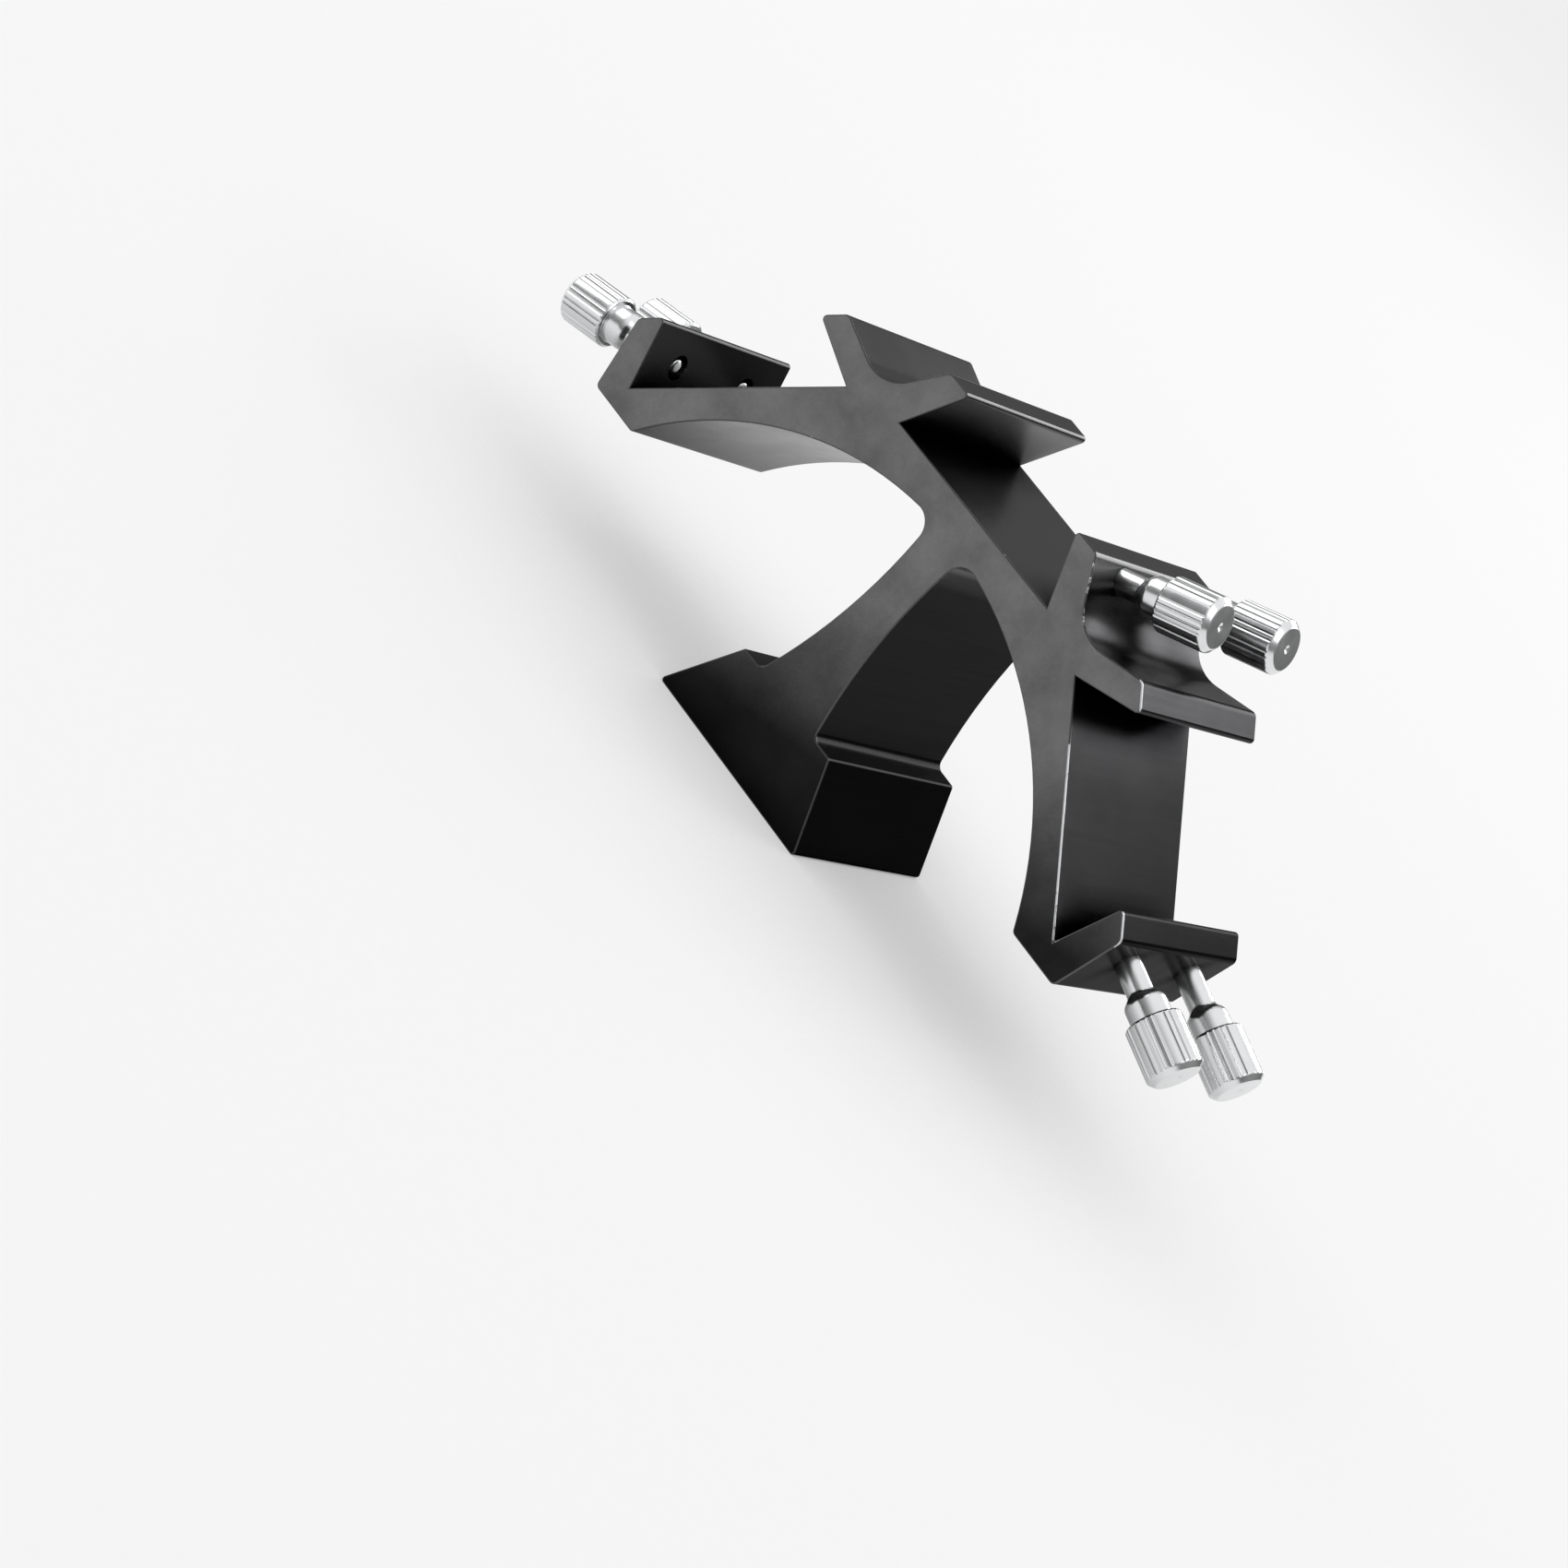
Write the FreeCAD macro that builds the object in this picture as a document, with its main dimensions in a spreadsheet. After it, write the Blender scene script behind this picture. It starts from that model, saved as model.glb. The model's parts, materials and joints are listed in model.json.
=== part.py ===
import FreeCAD, Part
import math
import os
import re
import Sketcher

# Finder scope base: one length of extruded aluminium section with three dovetail slots, an arch,
# a stem and a dovetail foot, and six chromed thumbscrews, two in one lip of each slot.
# Frame: millimetres, +Z up, origin at the centre of the foot's bottom face, the section in XZ and
# its length along Y with the front face at -Y.

doc = FreeCAD.newDocument("FinderScopeBase")

# Driving dimensions in millimetres and degrees. A drop is measured down from the centre slot's floor.
SIZES = {
    "bracket_length": 33.2,
    "floor_height": 47.0,
    "slot_floor": 33.0,
    "lip_height": 9.4,
    "lip_angle": 63.5,
    "lip_end": 4.3,
    "notch_across": 22.2,
    "notch_rise": 0.8,
    "side_across": 37.6,
    "side_drop": 14.3,
    "side_angle": 45.0,
    "wing_across": 53.4,
    "wing_drop": 29.6,
    "deck_thickness": 4.5,
    "arch_radius": 52.1,
    "stem_waist": 6.1,
    "stem_waist_drop": 13.0,
    "stem_base": 12.6,
    "foot_height": 12.0,
    "foot_width": 32.0,
    "foot_angle": 63.0,
    "notch_round": 6.0,
    "lip_inner_round": 0.6,
    "lip_outer_round": 1.0,
    "wing_round": 0.9,
    "arch_round": 2.75,
    "stem_foot_round": 1.3,
    "foot_round": 0.5,
    "hole_from_end": 8.1,
    "hole_rise_centre": 6.3,
    "hole_rise_side": 4.6,
    "hole_angle_centre": 24.0,
    "hole_angle_side": 30.7,
    "hole_clearance": 0.05,
    "cut_past": 6.0,
    "shank_width": 3.6,
    "shank_length": 8.0,
    "point_width": 2.2,
    "point_length": 1.1,
    "shoulder_length": 1.2,
    "collar_width": 5.6,
    "collar_length": 2.6,
    "head_width": 7.6,
    "head_length": 8.0,
    "head_bevel": 0.8,
    "dimple_width": 1.2,
    "dimple_depth": 0.25,
    "flute_width": 0.5,
    "flute_depth": 0.25,
    "flute_angle": 12.5,
    "flutes_in_group": 4,
    "flute_groups": 6,
    "out_left_front": 8.2,
    "out_left_rear": 8.2,
    "out_centre_front": 7.7,
    "out_centre_rear": 9.1,
    "out_right_front": 8.6,
    "out_right_rear": 9.4,
}
sheet = doc.addObject("Spreadsheet::Sheet", "Sizes")
for row, (name, value) in enumerate(SIZES.items(), start=1):
    sheet.set(f"A{row}", name)
    sheet.set(f"B{row}", str(value))
    sheet.setAlias(f"B{row}", name)
doc.recompute()


def formula(text):
    """A formula in the sheet's names, with each name pointed at the sheet."""
    return re.sub("[a-z_]+", lambda word: f"Sizes.{word[0]}" if word[0] in SIZES else word[0], text)


def new_body(label):
    body = doc.addObject("PartDesign::Body", label)
    body.Label = label
    return body


def origin_plane(body, role):
    return next(item for item in body.Origin.OriginFeatures if item.Role == role)


def new_sketch(body, name, role):
    sketch = body.newObject("Sketcher::SketchObject", name)
    sketch.AttachmentSupport = [(origin_plane(body, role), "")]
    sketch.MapMode = "FlatFace"
    return sketch


def dimension(sketch, kind, line, point, text):
    """Ties one coordinate of a sketch point, or the radius of an arc, to a formula."""
    if kind == "Radius":
        index = sketch.addConstraint(Sketcher.Constraint(kind, line, 1.0))
    else:
        index = sketch.addConstraint(Sketcher.Constraint(kind, line, point, 1.0))
    sketch.setExpression(f"Constraints[{index}]", formula(text))


def polygon(sketch, corners):
    """A closed outline whose corners are pairs of formulas. It starts as a regular one."""
    count = len(corners)
    start = [FreeCAD.Vector(40 * math.cos(2 * math.pi * k / count), 40 * math.sin(2 * math.pi * k / count), 0)
             for k in range(count)]
    lines = [sketch.addGeometry(Part.LineSegment(start[k], start[(k + 1) % count])) for k in range(count)]
    for k, line in enumerate(lines):
        sketch.addConstraint(Sketcher.Constraint("Coincident", line, 2, lines[(k + 1) % count], 1))
    for line, (across, height) in zip(lines, corners):
        dimension(sketch, "DistanceX", line, 1, across)
        dimension(sketch, "DistanceY", line, 1, height)


def mirrored_polygon(sketch, half):
    """A closed outline, alike on both sides of the vertical axis, from its right-hand corners."""
    polygon(sketch, half + [(f"-1 * ( {across} )", height) for across, height in reversed(half)])


def through_pocket(body, sketch, name):
    pocket = body.newObject("PartDesign::Pocket", name)
    pocket.Profile = sketch
    pocket.Type = "ThroughAll"
    pocket.Midplane = True
    return pocket


def mirrored(body, name, feature):
    mirror = body.newObject("PartDesign::Mirrored", name)
    mirror.Originals = [feature]
    mirror.MirrorPlane = (origin_plane(body, "YZ_Plane"), [""])
    body.Tip = mirror
    return mirror


def lengthwise_edges(shape, places):
    """Names of the edges that run along Y and pass through the given places in the section."""
    names = []
    for across, height in places:
        best = None
        for number, edge in enumerate(shape.Edges, start=1):
            first, last = edge.Vertexes[0].Point, edge.Vertexes[-1].Point
            if abs(first.y - last.y) > 1 and math.hypot(first.x - last.x, first.z - last.z) < 0.01:
                away = math.hypot(first.x - across, first.z - height)
                if best is None or away < best[0]:
                    best = (away, f"Edge{number}")
        names.append(best[1])
    return names


def fillet(body, name, feature, edges, radius):
    rounding = body.newObject("PartDesign::Fillet", name)
    rounding.Base = (feature, edges)
    rounding.setExpression("Radius", formula(radius))
    doc.recompute()
    return rounding


def both_sides(places):
    return places + [(-across, height) for across, height in places]


# The slot's section, alike in all three slots: half widths of its floor, of its mouth at the
# lips' ends, and of its lips' outer corners.
HALF_FLOOR = "slot_floor / 2"
HALF_MOUTH = f"{HALF_FLOOR} - lip_height / tan(lip_angle)"
HALF_OUTER = f"{HALF_MOUTH} + lip_end"
CUT_HEIGHT = "lip_height + cut_past"
HALF_CUT = f"{HALF_FLOOR} - ( {CUT_HEIGHT} ) / tan(lip_angle)"


def side_place(along, above):
    """A point of the right-hand slot, given along its floor (outward) and above it."""
    across = f"side_across + ( {along} ) * cos(side_angle) + ( {above} ) * sin(side_angle)"
    height = f"floor_height - side_drop - ( {along} ) * sin(side_angle) + ( {above} ) * cos(side_angle)"
    return across, height


# Bracket body: the blank, its slots, the arch, then the stem with the foot.
bracket = new_body("bracket_body")

outline = new_sketch(bracket, "BlankOutline", "XZ_Plane")
mirrored_polygon(outline, [
    (HALF_OUTER, "floor_height + lip_height"),
    ("notch_across", "floor_height + notch_rise"),
    side_place(f"-1 * ( {HALF_OUTER} )", "lip_height"),
    side_place(HALF_OUTER, "lip_height"),
    ("wing_across", "floor_height - wing_drop"),
])
blank = bracket.newObject("PartDesign::Pad", "Blank")
blank.Profile = outline
blank.Midplane = True
blank.setExpression("Length", formula("bracket_length"))

centre_section = new_sketch(bracket, "CentreSlotSection", "XZ_Plane")
mirrored_polygon(centre_section, [
    (HALF_FLOOR, "floor_height"),
    (HALF_CUT, f"floor_height + {CUT_HEIGHT}"),
])
centre_slot = through_pocket(bracket, centre_section, "CentreSlot")

side_section = new_sketch(bracket, "SideSlotSection", "XZ_Plane")
polygon(side_section, [
    side_place(HALF_FLOOR, "0"),
    side_place(HALF_CUT, CUT_HEIGHT),
    side_place(f"-1 * ( {HALF_CUT} )", CUT_HEIGHT),
    side_place(f"-1 * {HALF_FLOOR}", "0"),
])
right_slot = through_pocket(bracket, side_section, "RightSlot")
left_slot = mirrored(bracket, "LeftSlot", right_slot)

arch_section = new_sketch(bracket, "ArchSection", "XZ_Plane")
arch_line = arch_section.addGeometry(Part.Circle(FreeCAD.Vector(0, 0, 0), FreeCAD.Vector(0, 0, 1), 40))
arch_section.addConstraint(Sketcher.Constraint("PointOnObject", arch_line, 3, -2))
dimension(arch_section, "DistanceY", arch_line, 3, "floor_height - deck_thickness - arch_radius")
dimension(arch_section, "Radius", arch_line, None, "arch_radius")
arch = through_pocket(bracket, arch_section, "Arch")

# The stem's sides are shallow arcs, narrowest at the waist and as wide as the base at the foot's
# top. The stem runs from the middle of the deck's thickness down into the foot.
STEM_CURVE = ("( ( floor_height - stem_waist_drop - foot_height ) ^ 2 + ( ( stem_base - stem_waist ) / 2 ) ^ 2 )"
              " / ( stem_base - stem_waist )")
stem_section = new_sketch(bracket, "StemSection", "XZ_Plane")
stem_top = SIZES["floor_height"] - SIZES["deck_thickness"] / 2
stem_waist = SIZES["floor_height"] - SIZES["stem_waist_drop"]
stem_flare = (SIZES["stem_base"] - SIZES["stem_waist"]) / 2
curve = ((stem_waist - SIZES["foot_height"]) ** 2 + stem_flare ** 2) / (2 * stem_flare)
sides = []
for turn in (1, -1):
    centre = turn * (SIZES["stem_waist"] / 2 + curve)
    low = math.asin((SIZES["foot_height"] / 2 - stem_waist) / curve)
    high = math.asin((stem_top - stem_waist) / curve)
    circle = Part.Circle(FreeCAD.Vector(centre, stem_waist, 0), FreeCAD.Vector(0, 0, 1), curve)
    start, end = (math.pi - high, math.pi - low) if turn > 0 else (low, high)
    side = stem_section.addGeometry(Part.ArcOfCircle(circle, start, end))
    dimension(stem_section, "DistanceX", side, 3, f"{turn} * ( stem_waist / 2 + {STEM_CURVE} )")
    dimension(stem_section, "DistanceY", side, 3, "floor_height - stem_waist_drop")
    dimension(stem_section, "Radius", side, None, STEM_CURVE)
    dimension(stem_section, "DistanceY", side, 1 if turn > 0 else 2, "floor_height - deck_thickness / 2")
    dimension(stem_section, "DistanceY", side, 2 if turn > 0 else 1, "foot_height / 2")
    sides.append(side)
right_side, left_side = sides
for right_end, left_end in ((1, 2), (2, 1)):
    line = stem_section.addGeometry(Part.LineSegment(FreeCAD.Vector(3, 40, 0), FreeCAD.Vector(-3, 40, 0)))
    stem_section.addConstraint(Sketcher.Constraint("Coincident", line, 1, right_side, right_end))
    stem_section.addConstraint(Sketcher.Constraint("Coincident", line, 2, left_side, left_end))
stem = bracket.newObject("PartDesign::Pad", "Stem")
stem.Profile = stem_section
stem.Midplane = True
stem.setExpression("Length", formula("bracket_length"))

foot_section = new_sketch(bracket, "FootSection", "XZ_Plane")
mirrored_polygon(foot_section, [
    ("foot_width / 2 - foot_height / tan(foot_angle)", "foot_height"),
    ("foot_width / 2", "0"),
])
foot = bracket.newObject("PartDesign::Pad", "Foot")
foot.Profile = foot_section
foot.Midplane = True
foot.setExpression("Length", formula("bracket_length"))
doc.recompute()

# Rounded corners of the section. Each edge is picked by its place in the section.
floor = SIZES["floor_height"]
half_mouth = SIZES["slot_floor"] / 2 - SIZES["lip_height"] / math.tan(math.radians(SIZES["lip_angle"]))
half_outer = half_mouth + SIZES["lip_end"]
turn_cos = math.cos(math.radians(SIZES["side_angle"]))
turn_sin = math.sin(math.radians(SIZES["side_angle"]))


def side_point(along, above):
    across = SIZES["side_across"] + along * turn_cos + above * turn_sin
    return across, floor - SIZES["side_drop"] - along * turn_sin + above * turn_cos


def arch_meets(height):
    return math.sqrt(SIZES["arch_radius"] ** 2 - (height - arch_top + SIZES["arch_radius"]) ** 2)


def stem_half(height):
    sag = curve - math.sqrt(curve ** 2 - (height - stem_waist) ** 2)
    return SIZES["stem_waist"] / 2 + sag


lip = SIZES["lip_height"]
wing_bottom = floor - SIZES["wing_drop"]
arch_top = floor - SIZES["deck_thickness"]
foot_top_half = SIZES["foot_width"] / 2 - SIZES["foot_height"] / math.tan(math.radians(SIZES["foot_angle"]))
LEDGE = "foot_width / 2 - foot_height / tan(foot_angle) - stem_base / 2"
ROUNDED = [
    ("NotchRound", "notch_round", [(SIZES["notch_across"], floor + SIZES["notch_rise"])]),
    ("LipOuterRound", "lip_outer_round", [(half_outer, floor + lip), side_point(half_outer, lip),
                                          side_point(-half_outer, lip)]),
    ("LipInnerRound", "lip_inner_round", [(half_mouth, floor + lip), side_point(half_mouth, lip),
                                          side_point(-half_mouth, lip)]),
    ("WingRound", "wing_round", [(SIZES["wing_across"], wing_bottom), (arch_meets(wing_bottom), wing_bottom)]),
    ("ArchRound", "arch_round", [(stem_half(arch_top), arch_top)]),
    ("StemFootRound", f"min( stem_foot_round ; ( {LEDGE} ) / 2 )", [(SIZES["stem_base"] / 2, SIZES["foot_height"])]),
    ("FootRound", f"min( foot_round ; ( {LEDGE} ) / 3 )",
     [(foot_top_half, SIZES["foot_height"]), (SIZES["foot_width"] / 2, 0)]),
]
last = foot
for name, radius, places in ROUNDED:
    last = fillet(bracket, name, last, lengthwise_edges(last.Shape, both_sides(places)), radius)

# Screw holes. A hole's axis crosses its lip's inner face at a rise along that face, and each hole
# sketch lies square to the axis, past the lip's outer face.
SCREW_AXES = {
    "centre": (f"{HALF_FLOOR} - hole_rise_centre * cos(lip_angle)",
               "floor_height + hole_rise_centre * sin(lip_angle)", "hole_angle_centre"),
    "side": (*side_place(f"{HALF_FLOOR} - hole_rise_side * cos(lip_angle)", "hole_rise_side * sin(lip_angle)"),
             "hole_angle_side - side_angle"),
}


def lip_holes(body, name, axis):
    """The front and the rear hole of one lip."""
    across, height, tilt = SCREW_AXES[axis]
    sketch = new_sketch(body, f"{name}Section", "YZ_Plane")
    upward = -1 if axis == "centre" else 1
    turn = FreeCAD.Rotation(FreeCAD.Vector(upward, 0, 0), 20)
    sketch.AttachmentOffset = FreeCAD.Placement(FreeCAD.Vector(0, 0, 0), turn)
    sketch.setExpression("AttachmentOffset.Rotation.Angle", formula(f"abs( {tilt} )"))
    sketch.setExpression("AttachmentOffset.Base.y", formula(f"{height} + cut_past * sin( {tilt} )"))
    sketch.setExpression("AttachmentOffset.Base.z", formula(f"{across} + cut_past * cos( {tilt} )"))
    for place in (-1, 1):
        ring = sketch.addGeometry(Part.Circle(FreeCAD.Vector(8 * place, 0, 0), FreeCAD.Vector(0, 0, 1), 2))
        sketch.addConstraint(Sketcher.Constraint("PointOnObject", ring, 3, -1))
        dimension(sketch, "DistanceX", ring, 3, f"{place} * ( bracket_length / 2 - hole_from_end )")
        dimension(sketch, "Radius", ring, None, "shank_width / 2 + hole_clearance")
    pocket = body.newObject("PartDesign::Pocket", name)
    pocket.Profile = sketch
    pocket.setExpression("Length", formula("cut_past + shank_width / 2"))
    doc.recompute()
    return pocket


before = last.Shape.Volume
centre_holes = lip_holes(bracket, "CentreLipHoles", "centre")
right_holes = lip_holes(bracket, "RightLipHoles", "side")
left_holes = mirrored(bracket, "LeftLipHoles", right_holes)
doc.recompute()
volumes = [before, centre_holes.Shape.Volume, right_holes.Shape.Volume, left_holes.Shape.Volume]
if not all(earlier - later > 1 for earlier, later in zip(volumes, volumes[1:])):
    raise ValueError(f"a lip hole cut nothing: {volumes}")


# Thumbscrews. A screw's own origin is where its shank meets the shoulder, with the head along +Z.
HEAD_START = "shoulder_length + collar_length"
HEAD_END = f"{HEAD_START} + head_length"


def thumbscrew(label):
    body = new_body(label)
    section = new_sketch(body, f"{label}_section", "XZ_Plane")
    polygon(section, [
        ("0", "-1 * shank_length"),
        ("point_width / 2", "-1 * shank_length"),
        ("point_width / 2", "point_length - shank_length"),
        ("shank_width / 2", "point_length - shank_length"),
        ("shank_width / 2", "0"),
        ("collar_width / 2", "shoulder_length"),
        ("collar_width / 2", HEAD_START),
        ("head_width / 2", HEAD_START),
        ("head_width / 2", f"{HEAD_END} - head_bevel"),
        ("head_width / 2 - head_bevel", HEAD_END),
        ("dimple_width / 2", HEAD_END),
        ("dimple_width / 2", f"{HEAD_END} - dimple_depth"),
        ("0", f"{HEAD_END} - dimple_depth"),
    ])
    turned = body.newObject("PartDesign::Revolution", f"{label}_turned")
    turned.Profile = section
    turned.ReferenceAxis = (section, ["V_Axis"])
    turned.Angle = 360
    groove = new_sketch(body, f"{label}_groove", "XY_Plane")
    polygon(groove, [
        ("head_width / 2 - flute_depth", "0"),
        ("head_width / 2 + flute_depth", "flute_width"),
        ("head_width / 2 + flute_depth", "-1 * flute_width"),
    ])
    cut = through_pocket(body, groove, f"{label}_flute")
    doc.recompute()
    flutes = body.newObject("PartDesign::MultiTransform", f"{label}_flutes")
    flutes.Originals = [cut]
    group = body.newObject("PartDesign::PolarPattern", f"{label}_flute_group")
    group.Axis = (groove, ["N_Axis"])
    group.setExpression("Angle", formula("flute_angle * ( flutes_in_group - 1 )"))
    group.setExpression("Occurrences", formula("flutes_in_group"))
    around = body.newObject("PartDesign::PolarPattern", f"{label}_flutes_around")
    around.Axis = (groove, ["N_Axis"])
    around.Angle = 360
    around.setExpression("Occurrences", formula("flute_groups"))
    flutes.Transformations = [group, around]
    body.Tip = flutes
    doc.recompute()
    if not turned.Shape.Volume - cut.Shape.Volume > 0.1:
        raise ValueError(f"{label} has no flute")
    if not cut.Shape.Volume - flutes.Shape.Volume > 0.1:
        raise ValueError(f"{label} has one flute only")
    return body


def seat(body, axis, side, lengthwise, out):
    """Puts a thumbscrew on its hole's axis, its shoulder this far out from the lip's inner face."""
    across, height, tilt = SCREW_AXES[axis]
    body.Placement = FreeCAD.Placement(FreeCAD.Vector(0, 0, 0), FreeCAD.Rotation(FreeCAD.Vector(0, side, 0), 90))
    body.setExpression("Placement.Rotation.Angle", formula(f"90 - ( {tilt} )"))
    body.setExpression("Placement.Base.x", formula(f"{side} * ( {across} + {out} * cos( {tilt} ) )"))
    body.setExpression("Placement.Base.y", formula(f"{lengthwise} * ( bracket_length / 2 - hole_from_end )"))
    body.setExpression("Placement.Base.z", formula(f"{height} + {out} * sin( {tilt} )"))


screws = []
for slot, axis, side in (("left", "side", -1), ("centre", "centre", 1), ("right", "side", 1)):
    for place, lengthwise in (("front", -1), ("rear", 1)):
        screw = thumbscrew(f"{slot}_slot_screw_{place}")
        seat(screw, axis, side, lengthwise, f"out_{slot}_{place}")
        screws.append(screw)
doc.recompute()

# Every object is checked, then each piece's shape is written.
for item in doc.Objects:
    if "Invalid" in item.State or "Error" in item.State:
        raise ValueError(f"{item.Label} did not build: {item.State}")
os.makedirs("parts", exist_ok=True)
for piece in [bracket] + screws:
    if piece.Shape.isNull() or not piece.Shape.isValid() or len(piece.Shape.Solids) != 1:
        raise ValueError(f"{piece.Label} is not one valid solid")
for piece in [bracket] + screws:
    piece.Shape.exportStep(f"parts/{piece.Label}.step")
    print(piece.Label, "volume", round(piece.Shape.Volume, 1), "mm3")
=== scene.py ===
# %% [markdown]
# # Looks for a finder scope base
# The object is a length of black anodised aluminium extrusion with dovetail slots, held to finder
# scopes by small chromed thumbscrews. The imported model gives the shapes. This file adds what the
# eye needs beyond them: broken edges, the two metals, finely fluted screw heads, and a studio.

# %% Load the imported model
import json
import math

import bmesh
import bpy
import numpy as np
from mathutils import Matrix, Vector


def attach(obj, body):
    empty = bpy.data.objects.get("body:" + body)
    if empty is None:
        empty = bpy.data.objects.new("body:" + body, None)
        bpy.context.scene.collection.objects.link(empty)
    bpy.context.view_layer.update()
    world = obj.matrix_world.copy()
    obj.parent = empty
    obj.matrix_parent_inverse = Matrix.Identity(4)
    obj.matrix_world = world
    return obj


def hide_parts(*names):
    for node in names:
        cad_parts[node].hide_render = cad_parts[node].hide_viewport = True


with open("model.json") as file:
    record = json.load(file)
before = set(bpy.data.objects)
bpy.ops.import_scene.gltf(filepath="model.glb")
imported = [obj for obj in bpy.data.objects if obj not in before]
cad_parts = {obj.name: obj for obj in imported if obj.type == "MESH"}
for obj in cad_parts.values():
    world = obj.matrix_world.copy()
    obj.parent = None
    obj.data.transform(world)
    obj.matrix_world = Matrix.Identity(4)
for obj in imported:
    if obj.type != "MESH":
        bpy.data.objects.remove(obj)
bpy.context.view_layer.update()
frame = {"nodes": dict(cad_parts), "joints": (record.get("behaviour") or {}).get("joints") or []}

print("nodes:", sorted(frame["nodes"]))

# %% [markdown]
# ## Units
# Blender counts in metres and this object in millimetres, so every size below is written in
# millimetres and passes through one factor.

# %% Millimetres
MM = 0.001

# %% [markdown]
# ## Camera
# The picture was taken with the camera turned on its side a little, so the bracket seems to lean.
# A camera is a matrix: three columns say where its right, its up and its back point, and the last
# says where it stands, here in metres. A long lens from over half a metre away keeps the far end
# nearly as big as the near one, as it is in the picture. No shift is needed, because the frame is
# the whole picture.

# %% Camera
LENS = 106.56
PLACE = Vector((0.25472, -0.52499, 0.19105))
RIGHT = Vector((0.54429546, 0.50848065, 0.66722551))
UP = Vector((-0.7290399, -0.10677414, 0.67609179))
BACK = Vector((0.41502202, -0.85442771, 0.312586))

camera = bpy.data.objects.new("camera", bpy.data.cameras.new("camera"))
bpy.context.scene.collection.objects.link(camera)
camera.data.lens = LENS
camera.data.sensor_width = 36
camera.data.clip_start = 10 * MM
camera.matrix_world = Matrix((RIGHT, UP, BACK)).transposed().to_4x4()
camera.location = PLACE
bpy.context.scene.camera = camera
print("camera stands", round(PLACE.length / MM), "mm from the foot")

# %% [markdown]
# ## Two small helpers
# Colours are easiest to read as the hex values of a paint chart, which are sRGB. A shader works in
# linear light, so one function turns one into the other. The second helper adds a node, sets it up
# and wires it, so that each material below reads as a list of what it is made of.

# %% Colour and node helpers
def linear(hex_colour):
    """An sRGB hex colour as linear red, green, blue and alpha."""
    parts = [int(hex_colour[k:k + 2], 16) / 255 for k in (1, 3, 5)]
    return [c / 12.92 if c <= 0.04045 else ((c + 0.055) / 1.055) ** 2.4 for c in parts] + [1]


def add(tree, kind, settings=None, **inputs):
    """Adds a node. An input is a value or another node's socket, by name or, as _0, by number."""
    node = tree.nodes.new(kind)
    for name, value in (settings or {}).items():
        setattr(node, name, value)
    for name, value in inputs.items():
        by_number = name[0] == "_"
        socket = node.inputs[int(name[1:]) if by_number else name.replace("_", " ")]
        if isinstance(value, bpy.types.NodeSocket):
            tree.links.new(value, socket)
        else:
            socket.default_value = value
    return node


print("mid grey in linear light:", round(linear("#808080")[0], 3))

# %% [markdown]
# ## Floor
# Small metal goods are photographed on a pale board. Metal has no colour of its own to speak of, it
# shows what stands around it, so the board matters as much as the lamps. It is part glowing white,
# for the camera and for reflections, and part matt paper that catches the lamps' shadow. Close to
# the object the glow fades, as it does where an object keeps the light off a real board. It fades
# faster in reflections than it does for the camera, so the metal shows a clear dark foot.

# %% Floor
def new_material(name):
    material = bpy.data.materials.new(name)
    material.use_nodes = True
    material.node_tree.nodes.clear()
    return material, material.node_tree


SHADE_REACH = 60 * MM
SHADE_SEEN, SHADE_REFLECTED = 0.5, 2.5  # how fast the glow fades, seen straight and in reflections
PAPER_GRAIN = 2.5 * MM  # paper is smooth at this distance, so its tone only drifts a little
GLOW = 0.75  # share of the board that glows
FLOOR_RADIUS = 12.0


def white_board(name, glow):
    material, tree = new_material(name)
    path = add(tree, "ShaderNodeLightPath")
    seen = add(tree, "ShaderNodeMath", {"operation": "MAXIMUM"},
               _0=path.outputs["Is Camera Ray"], _1=path.outputs["Is Glossy Ray"])
    seen = add(tree, "ShaderNodeMath", {"operation": "MAXIMUM"},
               _0=seen.outputs[0], _1=path.outputs["Is Transmission Ray"])
    share = add(tree, "ShaderNodeMath", {"operation": "MULTIPLY"}, _0=seen.outputs[0], _1=glow)
    near = add(tree, "ShaderNodeAmbientOcclusion", {"samples": 8}, Distance=SHADE_REACH)
    depth = add(tree, "ShaderNodeMapRange", _0=path.outputs["Is Glossy Ray"],
                _3=SHADE_SEEN, _4=SHADE_REFLECTED)
    shade = add(tree, "ShaderNodeMath", {"operation": "POWER"}, _0=near.outputs["AO"],
                _1=depth.outputs[0])
    place = add(tree, "ShaderNodeTexCoord")
    fibre = add(tree, "ShaderNodeTexNoise", _0=place.outputs["Object"], Scale=1 / PAPER_GRAIN,
                Detail=2.0)
    paper = add(tree, "ShaderNodeValToRGB", Fac=fibre.outputs["Fac"])
    paper.color_ramp.elements[0].color = linear("#D2D2D2")
    paper.color_ramp.elements[1].color = linear("#D9D9D9")
    matt = add(tree, "ShaderNodeBsdfDiffuse", Color=paper.outputs["Color"])
    lit = add(tree, "ShaderNodeEmission", Color=(1, 1, 1, 1), Strength=shade.outputs[0])
    both = add(tree, "ShaderNodeMixShader", _0=share.outputs[0], _1=matt.outputs[0],
               _2=lit.outputs[0])
    add(tree, "ShaderNodeOutputMaterial", Surface=both.outputs[0])
    return material


def disc(name, radius, sides=96):
    mesh = bpy.data.meshes.new(name)
    turns = [2 * math.pi * k / sides for k in range(sides)]
    rim = [(radius * math.cos(turn), radius * math.sin(turn), 0.0) for turn in turns]
    mesh.from_pydata(rim, [], [tuple(range(sides))])
    return mesh


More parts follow.
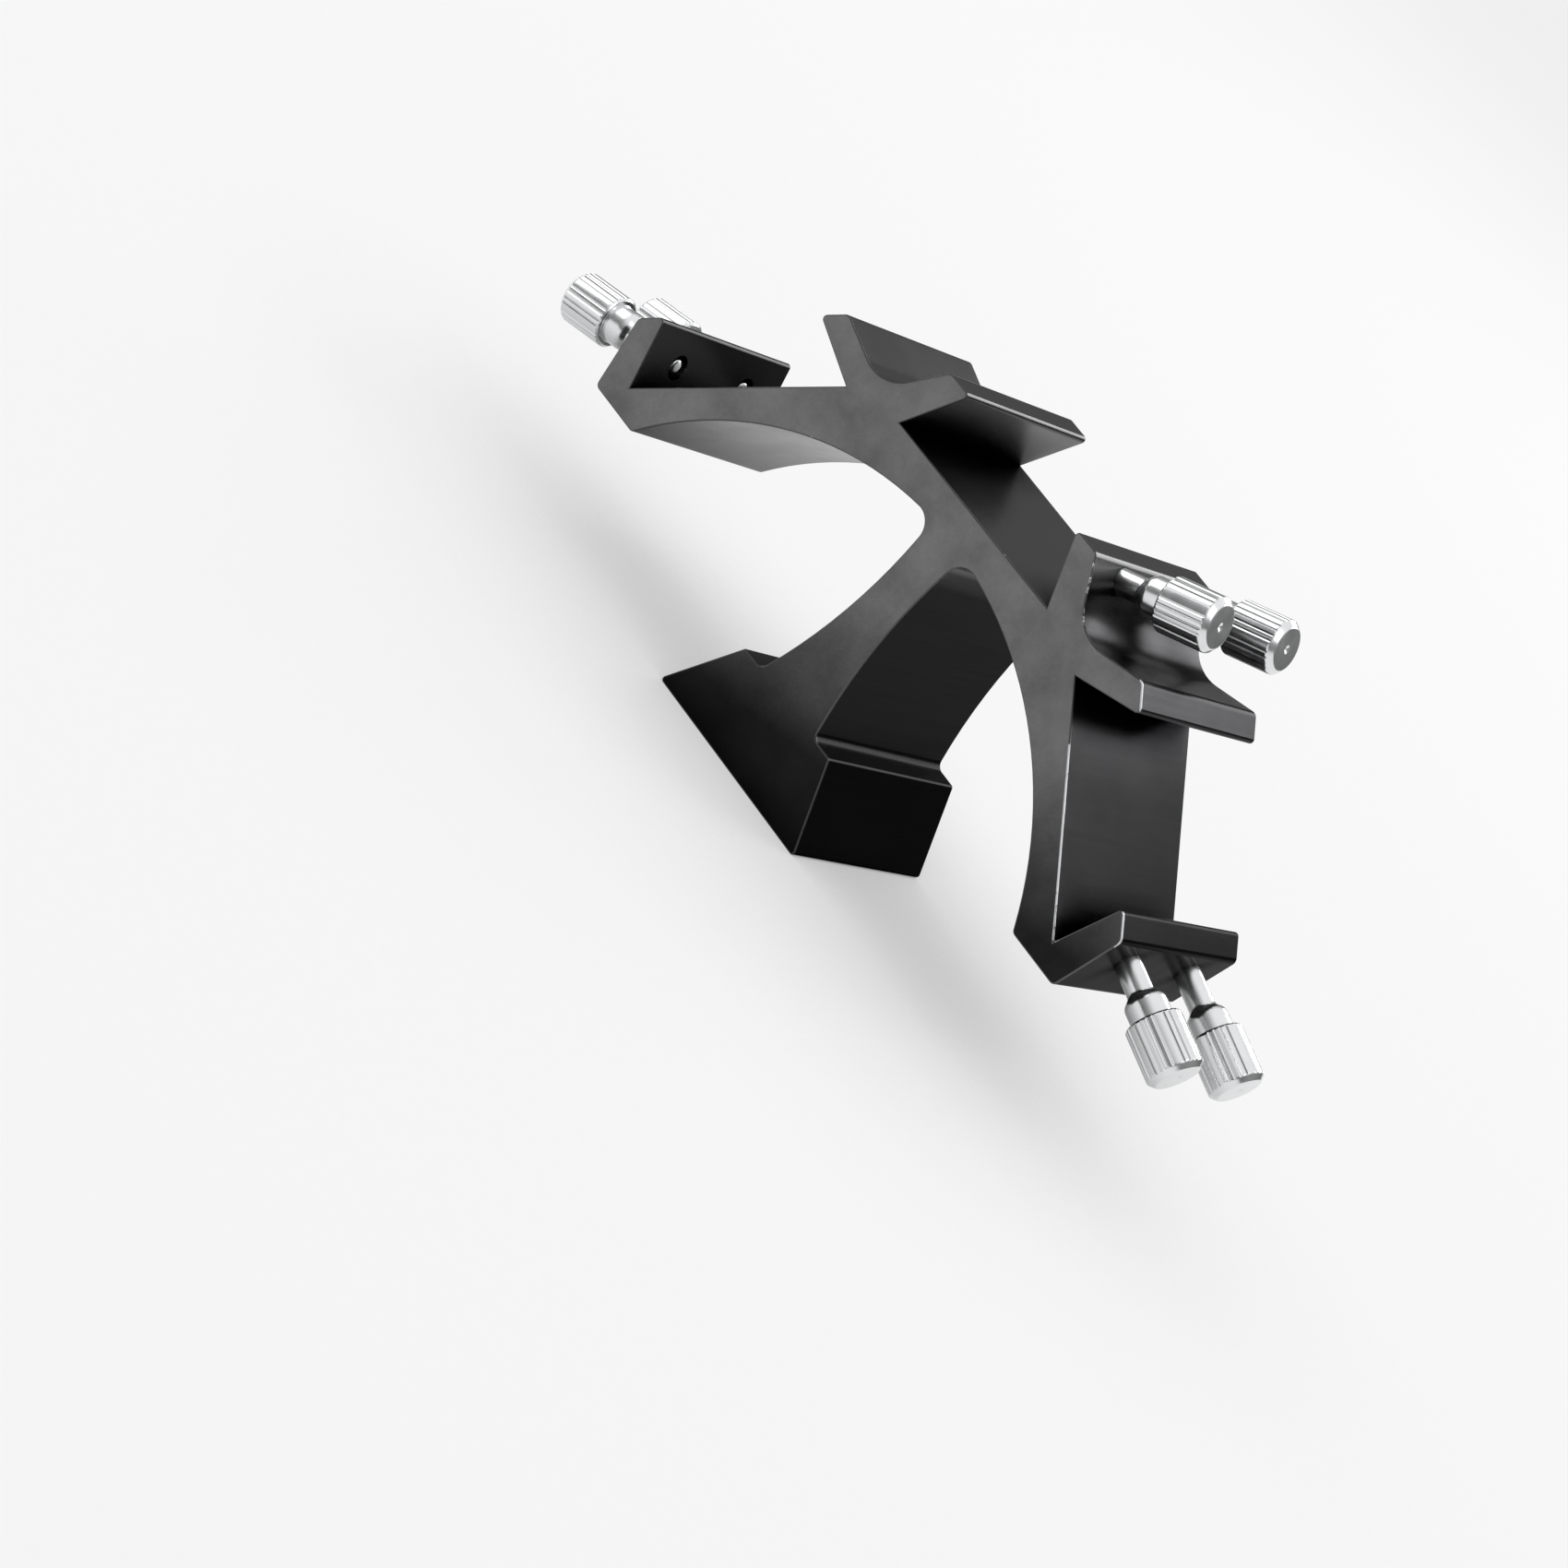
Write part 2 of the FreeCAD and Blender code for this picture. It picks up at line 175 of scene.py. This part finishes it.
floor = bpy.data.objects.new("floor", disc("floor", FLOOR_RADIUS))
bpy.context.scene.collection.objects.link(floor)
floor.data.materials.append(white_board("white_board", GLOW))
print("floor across in metres:", round(floor.dimensions.x, 1))

# %% [markdown]
# ## Studio light
# A white tent of cloth over the table gives the softest light there is: bright overhead, greyer
# towards the table's edge. Here the world is that tent, a ramp from its rim to its top. Two soft
# boxes add direction: one high on the left, which the screw heads show as a white band, and one
# behind, which draws a sheen along the slots. A strip at the right lifts the round edges. Together
# they light a mid grey card to about the grey it is. The camera sees the cloth behind the table as
# one plain white.

# %% Tent and soft boxes
def soft_box(name, place, target, size, power):
    """A lamp with a lit rectangle. Its place and size are in metres and its power in watts."""
    lamp = bpy.data.lights.new(name, "AREA")
    lamp.shape = "RECTANGLE"
    lamp.size, lamp.size_y = size
    lamp.energy = power
    holder = bpy.data.objects.new(name, lamp)
    bpy.context.scene.collection.objects.link(holder)
    holder.location = place
    holder.rotation_euler = (Vector(target) - Vector(place)).to_track_quat("-Z", "Y").to_euler()
    return holder


MIDDLE = (0.0, 0.0, 0.035)
soft_box("soft_box_left", (-0.85, -0.15, 0.55), MIDDLE, (0.8, 0.6), 2.6)
soft_box("soft_box_behind", (0.10, 0.90, 0.58), MIDDLE, (0.66, 0.38), 4.4)
soft_box("soft_box_right", (0.70, -0.25, 0.85), MIDDLE, (0.25, 0.7), 1.2)

world = bpy.data.worlds.new("tent")
world.use_nodes = True
bpy.context.scene.world = world
tent = world.node_tree
towards = add(tent, "ShaderNodeTexCoord")
height = add(tent, "ShaderNodeSeparateXYZ", Vector=towards.outputs["Generated"])
cloth = add(tent, "ShaderNodeValToRGB", Fac=height.outputs["Z"])
rim, top = cloth.color_ramp.elements
rim.position, rim.color = 0.05, linear("#626262")
top.position, top.color = 0.85, linear("#FCFCFC")
cloth.color_ramp.elements.new(0.50).color = linear("#A4A4A4")
seen = add(tent, "ShaderNodeLightPath")
backdrop = add(tent, "ShaderNodeMix", {"data_type": "RGBA"}, _0=seen.outputs["Is Camera Ray"],
               _6=cloth.outputs["Color"], _7=linear("#FAFAFA"))
tent.links.new(backdrop.outputs[2], tent.nodes["Background"].inputs["Color"])

# %% [markdown]
# ## Black anodised aluminium
# The section is pressed through a die, sawn to length, milled flat at its ends, bead blasted and
# dyed black in an anodising bath. The oxide is a thin hard skin on the metal, so it is drawn as a
# metal with a very dark colour and a satin roughness. Pressed faces keep faint lines along their
# length. Cut ends come out a little lighter and cloudier. The normal in the object's own space
# tells the two apart: it points along Y on a cut end only. Shade is painted into the colour: it
# is darker towards the foot, on the cut ends along a slightly tilted up, and in the inner corners.
# At a low angle a metal's shine no longer depends on its colour but on its specular tint, so a
# painted reflection is set there: the sheen is weaker towards the right and in the inner corners.

# %% Anodised aluminium
DIE_LINE = 0.5 * MM  # real lines are about 0.1 mm apart, too fine to show, so drawn coarser
DIE_LINE_LENGTH = 60  # a line runs on for this many times its width
BLAST_GRAIN = 0.22 * MM  # real beads leave dimples of about 0.08 mm, drawn coarser
CLOUD = 9 * MM  # dye clouds on the cut ends
MILL_FEED = 0.55 * MM  # spacing of the milling cutter's arcs, drawn at about twice the real feed
MILL_CENTRE = (-0.09, 0, 0.03)  # shifts the arcs, so that their middle lies outside the part

CORNER_SHADE_REACH = 12 * MM  # how far out of an inner corner the painted shade reaches
CORNER_SHADE_SHARE = 0.3  # share of colour and sheen left deep in a corner by the painted shade
# Painted shade towards the foot: over these heights the colour goes from a share to all of it.
PRESSED_FADE, PRESSED_SHARE = (34 * MM, 47 * MM), 0.42  # over these heights, from this share to 1
CUT_FADE, CUT_SHARE = (8 * MM, 31 * MM), 0.12
SHADE_UP = (-0.25, 0.0, 1.0)  # up for the painted shade on the cut ends, tilted a little
LEFT_FADE, MIDDLE_FADE = (-20 * MM, 0.0), (17 * MM, 23 * MM)  # across: the painted sheen falls from 1
PAINTED_SIDE_SHEEN = 0.52
ABOVE_FADE = (37 * MM, 42 * MM)  # the left fade holds below these heights, the middle one above


def anodised(name, pressed, pressed_light, cut, cut_light):
    """Black anodised aluminium: the colours of its pressed faces and of its cut ends."""
    material, tree = new_material(name)
    place = add(tree, "ShaderNodeTexCoord")
    facing = add(tree, "ShaderNodeSeparateXYZ", Vector=place.outputs["Normal"])
    along = add(tree, "ShaderNodeMath", {"operation": "ABSOLUTE"}, _0=facing.outputs["Y"])
    end = add(tree, "ShaderNodeMapRange", {"interpolation_type": "SMOOTHSTEP"},
              _0=along.outputs[0], _1=0.75, _2=0.95)

    lines_at = add(tree, "ShaderNodeMapping", _0=place.outputs["Object"],
                   _3=(1 / DIE_LINE, 1 / (DIE_LINE_LENGTH * DIE_LINE), 1 / DIE_LINE))
    lines = add(tree, "ShaderNodeTexNoise", _0=lines_at.outputs[0], Scale=1.0, Detail=3.0,
                Roughness=0.6)
    grain = add(tree, "ShaderNodeTexNoise", _0=place.outputs["Object"], Scale=1 / BLAST_GRAIN,
                Detail=2.0)
    cloud = add(tree, "ShaderNodeTexNoise", _0=place.outputs["Object"], Scale=1 / CLOUD, Detail=4.0,
                Roughness=0.62)
    arcs_at = add(tree, "ShaderNodeMapping", _0=place.outputs["Object"], _1=MILL_CENTRE)
    arcs = add(tree, "ShaderNodeTexWave", {"wave_type": "RINGS", "rings_direction": "Y"},
               _0=arcs_at.outputs[0], Scale=1 / (20 * MILL_FEED), Distortion=0.6, Detail=1.0)

    pressed_tone = add(tree, "ShaderNodeValToRGB", Fac=lines.outputs["Fac"])
    dark, light = pressed_tone.color_ramp.elements
    dark.position, dark.color = 0.3, linear(pressed)
    light.position, light.color = 0.7, linear(pressed_light)
    cut_tone = add(tree, "ShaderNodeValToRGB", Fac=cloud.outputs["Fac"])
    dark, light = cut_tone.color_ramp.elements
    dark.position, dark.color = 0.34, linear(cut)
    light.position, light.color = 0.66, linear(cut_light)
    colour = add(tree, "ShaderNodeMix", {"data_type": "RGBA"}, _0=end.outputs[0],
                 _6=pressed_tone.outputs["Color"], _7=cut_tone.outputs["Color"])

    spot = add(tree, "ShaderNodeSeparateXYZ", Vector=place.outputs["Object"])
    # Painted shade: the colour is darker towards the foot, by height on the pressed faces and along a
    # tilted up on the cut ends.
    painted_shade_pressed = add(tree, "ShaderNodeMapRange", {"interpolation_type": "SMOOTHSTEP"},
                      _0=spot.outputs["Z"], _1=PRESSED_FADE[0], _2=PRESSED_FADE[1],
                      _3=PRESSED_SHARE, _4=1.0)
    shade_height = add(tree, "ShaderNodeVectorMath", {"operation": "DOT_PRODUCT"},
               _0=place.outputs["Object"], _1=SHADE_UP)
    painted_shade_cut = add(tree, "ShaderNodeMapRange", _0=shade_height.outputs["Value"], _1=CUT_FADE[0],
                  _2=CUT_FADE[1], _3=CUT_SHARE, _4=1.0)
    painted_shade = add(tree, "ShaderNodeMix", {"data_type": "FLOAT"}, _0=end.outputs[0],
              _2=painted_shade_pressed.outputs[0], _3=painted_shade_cut.outputs[0])
    # Painted shade in the inner corners: where the object itself hides the sky close by, colour and
    # sheen are darkened.
    corner = add(tree, "ShaderNodeAmbientOcclusion", {"samples": 4}, Distance=CORNER_SHADE_REACH)
    clear = add(tree, "ShaderNodeMapRange", _0=corner.outputs["AO"], _1=0.25, _2=0.75,
                _3=CORNER_SHADE_SHARE, _4=1.0)
    painted_shade = add(tree, "ShaderNodeMath", {"operation": "MULTIPLY"}, _0=painted_shade.outputs[0],
              _1=clear.outputs[0])
    colour_in_painted_shade = add(tree, "ShaderNodeMix", {"data_type": "RGBA", "blend_type": "MULTIPLY"}, _0=1.0,
               _6=colour.outputs[2], _7=painted_shade.outputs[0])

    rough_pressed = add(tree, "ShaderNodeMapRange", _0=cloud.outputs["Fac"], _1=0.3, _2=0.7,
                        _3=0.22, _4=0.27)
    rough_cut = add(tree, "ShaderNodeMapRange", _0=grain.outputs["Fac"], _1=0.3, _2=0.7,
                    _3=0.40, _4=0.52)
    rough = add(tree, "ShaderNodeMix", {"data_type": "FLOAT"}, _0=end.outputs[0],
                _2=rough_pressed.outputs[0], _3=rough_cut.outputs[0])

    relief = add(tree, "ShaderNodeMix", {"data_type": "FLOAT"}, _0=end.outputs[0],
                 _2=lines.outputs["Fac"], _3=arcs.outputs["Fac"])
    carved = add(tree, "ShaderNodeBump", Strength=0.05, Distance=0.03 * MM,
                 Height=relief.outputs[0])
    blasted = add(tree, "ShaderNodeBump", Strength=0.18, Distance=0.03 * MM,
                  Height=grain.outputs["Fac"], Normal=carved.outputs[0])

    # Painted reflection: the specular tint is lowered towards the right, low down from the middle on,
    # so those faces shine less at a low angle.
    left = add(tree, "ShaderNodeMapRange", _0=spot.outputs["X"], _1=LEFT_FADE[0], _2=LEFT_FADE[1],
               _3=1.0, _4=PAINTED_SIDE_SHEEN)
    middle = add(tree, "ShaderNodeMapRange", _0=spot.outputs["X"], _1=MIDDLE_FADE[0],
                 _2=MIDDLE_FADE[1], _3=1.0, _4=PAINTED_SIDE_SHEEN)
    above = add(tree, "ShaderNodeMapRange", _0=spot.outputs["Z"], _1=ABOVE_FADE[0],
                _2=ABOVE_FADE[1])
    painted_sheen = add(tree, "ShaderNodeMix", {"data_type": "FLOAT"}, _0=above.outputs[0],
                _2=left.outputs[0], _3=middle.outputs[0])
    painted_sheen = add(tree, "ShaderNodeMath", {"operation": "MULTIPLY"}, _0=painted_sheen.outputs[0],
                _1=clear.outputs[0])
    skin = add(tree, "ShaderNodeBsdfPrincipled", Base_Color=colour_in_painted_shade.outputs[2], Metallic=1.0,
               Specular_Tint=painted_sheen.outputs[0], Roughness=rough.outputs[0],
               Normal=blasted.outputs[0])
    add(tree, "ShaderNodeOutputMaterial", Surface=skin.outputs[0])
    return material


black_anodised_aluminium = anodised("black_anodised_aluminium", pressed="#363637",
                                    pressed_light="#3B3B3C", cut="#6C6C6D", cut_light="#818182")
print("nodes in the finish:", len(black_anodised_aluminium.node_tree.nodes))

# %% [markdown]
# ## Broken edges
# A sawn end has a sharp edge that would cut a finger, so the maker breaks it in the tumbler, and
# handling then wears the black skin off it in places. A computer's edge is perfectly sharp and
# catches no light, which is what most gives it away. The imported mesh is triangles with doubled
# points along its edges, and a bevel needs clean ones, so a copy is welded, its flat parts are
# joined up into single faces, and then the edges around the two cut ends are rounded. The new
# faces get a material slot of their own.

# %% Bracket with broken edges
BREAK = 0.20 * MM
WEAR_STEP = 1.0 * MM  # an edge gets a point this often, so that wear can start and stop along it


def whole_faces(packed):
    """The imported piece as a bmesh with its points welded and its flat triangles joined."""
    source = packed.data
    plain = bpy.data.meshes.new("plain")
    plain.from_pydata([v.co for v in source.vertices], [], [p.vertices for p in source.polygons])
    solid = bmesh.new()
    solid.from_mesh(plain)
    bpy.data.meshes.remove(plain)
    bmesh.ops.remove_doubles(solid, verts=solid.verts, dist=0.001 * MM)
    bmesh.ops.dissolve_limit(solid, angle_limit=math.radians(0.4), verts=solid.verts,
                             edges=solid.edges, use_dissolve_boundaries=False)
    return solid


def end_edges(solid):
    """Edges between a cut end and a face that runs lengthwise."""
    chosen = []
    for edge in solid.edges:
        if len(edge.link_faces) == 2:
            ends = [abs(face.normal.y) > 0.999 for face in edge.link_faces]
            if ends[0] != ends[1]:
                chosen.append(edge)
    return chosen


def stepped(edges):
    """Puts points along the edges, without splitting the faces beside them."""
    for edge in edges:
        parts, start = max(1, round(edge.calc_length() / WEAR_STEP)), edge.verts[0]
        for left in range(parts, 1, -1):
            point = bmesh.utils.edge_split(edge, start, 1 / left)[1]
            edge = next(e for e in point.link_edges if start not in e.verts)
            start = point


def bracket_piece(name):
    solid = whole_faces(frame["nodes"]["bracket_body"])
    stepped(end_edges(solid))
    rims = end_edges(solid)
    bmesh.ops.bevel(solid, geom=rims, offset=BREAK, offset_type="OFFSET", segments=2, profile=0.5,
                    affect="EDGES", clamp_overlap=False, material=1)
    print("edges broken:", len(rims), "faces now:", len(solid.faces))
    mesh = bpy.data.meshes.new(name)
    solid.to_mesh(mesh)
    solid.free()
    mesh.shade_smooth()
    mesh.set_sharp_from_angle(angle=math.radians(30))
    piece = bpy.data.objects.new(name, mesh)
    bpy.context.scene.collection.objects.link(piece)
    piece.modifiers.new("flat_faces", "WEIGHTED_NORMAL").keep_sharp = True
    return piece


bracket = bracket_piece("bracket")
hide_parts("bracket_body")
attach(bracket, "bracket")

# %% [markdown]
# ## Worn edges
# Scopes slide in and out of the right-hand slot, and the black skin is rubbed off the edges that
# they knock: the corners of its two lips, and in specks down the edge of its floor. Each place is
# a short run across the cut end, given by where it starts and stops. The points of the broken
# edges near a run get a number from 0, black, to 1, bare, and the finish reads that number.

# %% Where the skin is worn off
WORN_RUNS = [  # across and up in mm, at the front end: start, stop, and how bare
    ((33.0, 50.7), (36.3, 48.0), 1.0),
    ((52.8, 31.3), (56.2, 27.5), 1.0),
    ((32.4, 38.0), (44.0, 26.4), 0.74),
    ((44.0, 26.4), (50.0, 20.4), 0.60),
    ((16.0, 56.4), (22.0, 49.2), 0.45),
    ((23.0, 47.0), (25.5, 44.4), 0.42),
]
WORN_WIDTH = 0.6
REST_FRONT, REST_REAR = 0.28, 0.22  # all other edges: a few specks at the front, fewer at the rear


def wear_at(point):
    """How bare the metal is at this point of an edge, from 0 to 1."""
    if point.y > 0:
        return REST_REAR
    here, most = Vector((point.x / MM, point.z / MM)), REST_FRONT
    for start, stop, bare in WORN_RUNS:
        start, stop = Vector(start), Vector(stop)
        run = stop - start
        share = min(1.0, max(0.0, (here - start).dot(run) / run.length_squared))
        if (start + run * share - here).length < WORN_WIDTH:
            most = max(most, bare)
    return most


worn = bracket.data.attributes.new("worn", "FLOAT", "POINT")
for vertex in bracket.data.vertices:
    worn.data[vertex.index].value = wear_at(vertex.co)
print("points on worn runs:", sum(1 for item in worn.data if item.value > 0.4))

# %% [markdown]
# Bare aluminium is bright next to the black skin. The number alone would give hard-ended runs, so
# a fine noise nibbles at it: where the number is high nearly all of the edge is bare, and where it
# is low only a few specks are.

# %% Worn edge finish
CHIP = 0.8 * MM


def worn_edges(name):
    material, tree = new_material(name)
    place = add(tree, "ShaderNodeTexCoord")
    rubbed = add(tree, "ShaderNodeAttribute", {"attribute_name": "worn"})
    chips = add(tree, "ShaderNodeTexNoise", _0=place.outputs["Object"], Scale=1 / CHIP, Detail=3.0,
                Roughness=0.7)
    much = add(tree, "ShaderNodeMath", {"operation": "ADD"}, _0=chips.outputs["Fac"],
               _1=rubbed.outputs["Fac"])
    bare = add(tree, "ShaderNodeMapRange", _0=much.outputs[0], _1=0.98, _2=1.08)
    colour = add(tree, "ShaderNodeMix", {"data_type": "RGBA"}, _0=bare.outputs[0],
                 _6=linear("#5E5E5F"), _7=linear("#E2E3E5"))
    rough = add(tree, "ShaderNodeMapRange", _0=bare.outputs[0], _1=0.0, _2=1.0, _3=0.36, _4=0.45)
    skin = add(tree, "ShaderNodeBsdfPrincipled", Base_Color=colour.outputs[2], Metallic=1.0,
               Roughness=rough.outputs[0])
    add(tree, "ShaderNodeOutputMaterial", Surface=skin.outputs[0])
    return material


bracket.data.materials.append(black_anodised_aluminium)
bracket.data.materials.append(worn_edges("worn_black_anodised_edges"))
print("bracket slots:", [m.name for m in bracket.data.materials])

# %% [markdown]
# ## Thumbscrew
# A thumbscrew is turned from brass bar on a lathe, fluted by a knurling wheel that presses a few
# grooves at a time, and chromed. A polished round shows every flat of a coarse mesh, so each screw
# is built anew with many points around it. The mesh is made ring by ring: a list of heights and
# radii for the turned outline, and a list of angles around. At a flute the radius is cut down to
# the groove's bottom, and never below the outline, so the flutes run out by themselves on the
# bevel.

# %% Turned outline
# Radii, then heights along the axis in mm, from the bottom of the shoulder at 0.
SHANK, COLLAR, HEAD, POINT, DIMPLE = 3.6 / 2, 5.6 / 2, 7.6 / 2, 2.2 / 2, 1.2 / 2
SHOULDER_END, COLLAR_END, HEAD_END = 1.2, 3.8, 11.8
POINT_LENGTH, SHANK_LENGTH, DIMPLE_DEPTH = 1.1, 8.0, 0.25
BEVEL_INNER, BEVEL_END = 0.35, 0.8
NECK = 0.2  # the curve under the shoulder stays clear of the hole's rim at full travel


def rounded(corners, steps=6):
    """The outline with each inner corner swapped for a curve of its own reach."""
    line = [corners[0][:2]]
    for before, here, after in zip(corners, corners[1:], corners[2:]):
        radius = here[2]
        before, here, after = (Vector(p[:2]) for p in (before, here, after))
        back, on = (before - here), (after - here)
        reach = min(radius, back.length * 0.48, on.length * 0.48)
        start, end = here + back.normalized() * reach, here + on.normalized() * reach
        for k in range(steps + 1):
            t = k / steps
            line.append(tuple(start * (1 - t) ** 2 + here * 2 * t * (1 - t) + end * t ** 2))
    return line + [corners[-1][:2]]


outline = rounded([  # radius, height, and the reach of the curve at that corner
    (0.0, -SHANK_LENGTH), (POINT, -SHANK_LENGTH, 0.5), (POINT, -SHANK_LENGTH + POINT_LENGTH, 0.1),
    (SHANK, -SHANK_LENGTH + POINT_LENGTH, 0.3), (SHANK, NECK, 0.4), (COLLAR, SHOULDER_END, 0.6),
    (COLLAR, COLLAR_END, 0.1), (HEAD - BEVEL_INNER, COLLAR_END, 0.1),
    (HEAD, COLLAR_END + BEVEL_INNER, 0.15), (HEAD, HEAD_END - BEVEL_END, 0.2),
    (HEAD - BEVEL_END, HEAD_END, 0.2), (DIMPLE, HEAD_END, 0.15), (0.0, HEAD_END - DIMPLE_DEPTH),
])
print("points on the turned outline:", len(outline))

# %% [markdown]
# The wheel pressed groups of flutes with a smooth band after each group. The points around are
# put close together at a flute, so that its bottom stays a crisp line, and further apart on the
# smooth bands.

# %% Flutes and mesh
FLUTE_GROUPS, FLUTES_IN_GROUP, FLUTE_ANGLE = 6, 4, 12.5
FLUTE_DEPTH, FLUTE_HALF = 0.13, 0.2
RUN_OUT_RINGS = 8  # rings on the end bevel, where the flutes run out


def around():
    """Angles around the screw in degrees, each with the depth of the flute there."""
    half = math.degrees(FLUTE_HALF / HEAD)
    stops = {}
    for group in range(FLUTE_GROUPS):
        for flute in range(FLUTES_IN_GROUP):
            middle = group * 360 / FLUTE_GROUPS + flute * FLUTE_ANGLE
            for share in (-1, -0.66, -0.33, -0.08, 0.08, 0.33, 0.66, 1):
                stops[round(middle + share * half, 4)] = FLUTE_DEPTH * (1 - abs(share))
            for turn in range(1, 4):
                stops[round(middle + half + turn * (FLUTE_ANGLE - 2 * half) / 4, 4)] = 0.0
        first = group * 360 / FLUTE_GROUPS + (FLUTES_IN_GROUP - 1) * FLUTE_ANGLE + half
        last = (group + 1) * 360 / FLUTE_GROUPS - half
        for turn in range(1, 8):
            stops[round(first + turn * (last - first) / 8, 4)] = 0.0
    return sorted(stops.items())


def outline_rings():
    """The outline's points, with more of them on the end bevel."""
    rings = []
    for (r0, z0), (r1, z1) in zip(outline, outline[1:]):
        at_end = z0 > HEAD_END - BEVEL_END - 0.05
        on_bevel = at_end and min(r0, r1) > HEAD - BEVEL_END - 0.01 and r1 < r0
        parts = RUN_OUT_RINGS if on_bevel else 1
        rings += [(r0 + (r1 - r0) * k / parts, z0 + (z1 - z0) * k / parts) for k in range(parts)]
    return rings + [outline[-1]]


def thumbscrew_mesh(name, place):
    """The turned and fluted screw, set in this place."""
    turns, rings = around(), outline_rings()
    points, faces = [], []
    for radius, height in rings:
        for angle, depth in turns:
            reach = min(radius, HEAD - depth) if height > COLLAR_END - 0.001 else radius
            turn = math.radians(angle)
            points.append((reach * math.cos(turn) * MM, reach * math.sin(turn) * MM, height * MM))
    count = len(turns)
    for ring in range(len(rings) - 1):
        for k in range(count):
            a, b = ring * count + k, ring * count + (k + 1) % count
            faces.append((a, b, b + count, a + count))
    mesh = bpy.data.meshes.new(name)
    mesh.from_pydata(points, [], faces)
    walked = [0.0]
    for (r0, z0), (r1, z1) in zip(rings, rings[1:]):
        walked.append(walked[-1] + math.hypot(r1 - r0, z1 - z0) * MM)
    unrolled = mesh.uv_layers.new(name="unrolled")
    for loop in mesh.loops:
        ring, k = divmod(loop.vertex_index, count)
        unrolled.uv[loop.index].vector = (turns[k][0] / 360, walked[ring])
    mesh.transform(place)
    mesh.shade_smooth()
    mesh.set_sharp_from_angle(angle=math.radians(32))
    return mesh


print("points around a thumbscrew:", len(around()))

# %% [markdown]
# ## Chromed brass
# Chrome plating is a bright, nearly neutral metal. What makes it look turned and not cast is the
# lathe: hair-fine rings around the shank and across the end face, and a faint haze where fingers
# hold it. The rings follow the mesh's unrolled map, which holds the distance along the outline.

# %% Chrome finish
LATHE_FEED = 0.12 * MM  # real feed is nearer 0.05 mm, drawn coarser so that it shows up close
FINGER_HAZE = 2.5 * MM


def chrome(name):
    material, tree = new_material(name)
    place = add(tree, "ShaderNodeTexCoord")
    part = add(tree, "ShaderNodeSeparateXYZ", Vector=place.outputs["UV"])
    rings = add(tree, "ShaderNodeTexNoise", {"noise_dimensions": "1D"}, W=part.outputs["Y"],
                Scale=1 / LATHE_FEED, Detail=2.0)
    haze = add(tree, "ShaderNodeTexNoise", _0=place.outputs["Object"], Scale=1 / FINGER_HAZE,
               Detail=3.0)
    rough = add(tree, "ShaderNodeMapRange", _0=haze.outputs["Fac"], _1=0.35, _2=0.7,
                _3=0.18, _4=0.28)
    tone = add(tree, "ShaderNodeValToRGB", Fac=haze.outputs["Fac"])
    tone.color_ramp.elements[0].color = linear("#DEDFE0")
    tone.color_ramp.elements[1].color = linear("#ECEDEE")
    turned = add(tree, "ShaderNodeBump", Strength=0.12, Distance=0.01 * MM,
                 Height=rings.outputs["Fac"])
    skin = add(tree, "ShaderNodeBsdfPrincipled", Base_Color=tone.outputs["Color"], Metallic=1.0,
               Roughness=rough.outputs[0], Normal=turned.outputs[0])
    add(tree, "ShaderNodeOutputMaterial", Surface=skin.outputs[0])
    return material


chromed_brass = chrome("chromed_brass")

# %% [markdown]
# ## Put the screws in their holes
# Each packed screw says where its own axis is: its joint gives the direction, and the middle of
# its extent across that direction gives the line. The new screw goes on the same line, flush with
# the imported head's end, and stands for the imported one. Turning each head by its own amount is what
# a hand does when it tightens them.

# %% Screws
TURN = {  # in degrees
    "left_slot_screw_front": 10, "left_slot_screw_rear": 33,
    "centre_slot_screw_front": 22, "centre_slot_screw_rear": 48,
    "right_slot_screw_front": 5, "right_slot_screw_rear": 40,
}


def screw_line(node, inward):
    """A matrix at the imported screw's shoulder, with Z along its axis towards the head."""
    outward = -Vector(inward).normalized()
    lengthwise = Vector((0, 1, 0))
    across = lengthwise.cross(outward)
    points = np.array([v.co for v in frame["nodes"][node].data.vertices])
    middle = []
    for way in (across, lengthwise):
        spread = points @ np.array(way)
        middle.append((spread.max() + spread.min()) / 2)
    end = (points @ np.array(outward)).max() - HEAD_END * MM
    place = across * middle[0] + lengthwise * middle[1] + outward * end
    return Matrix.Translation(place) @ Matrix((across, lengthwise, outward)).transposed().to_4x4()


for joint in frame["joints"]:
    node = joint["child"]
    place = screw_line(node, joint["axis"]) @ Matrix.Rotation(math.radians(TURN[node]), 4, "Z")
    screw = bpy.data.objects.new(node + "_chromed", thumbscrew_mesh(node + "_chromed", place))
    bpy.context.scene.collection.objects.link(screw)
    screw.data.materials.append(chromed_brass)
    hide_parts(node)
    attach(screw, node)
    print(node, "shoulder at", [round(c / MM, 1) for c in place.translation])

# %% [markdown]
# ## View and finish
# The standard view transform shows each colour as it was written.

# %% Finish
bpy.context.scene.view_settings.view_transform = "Standard"
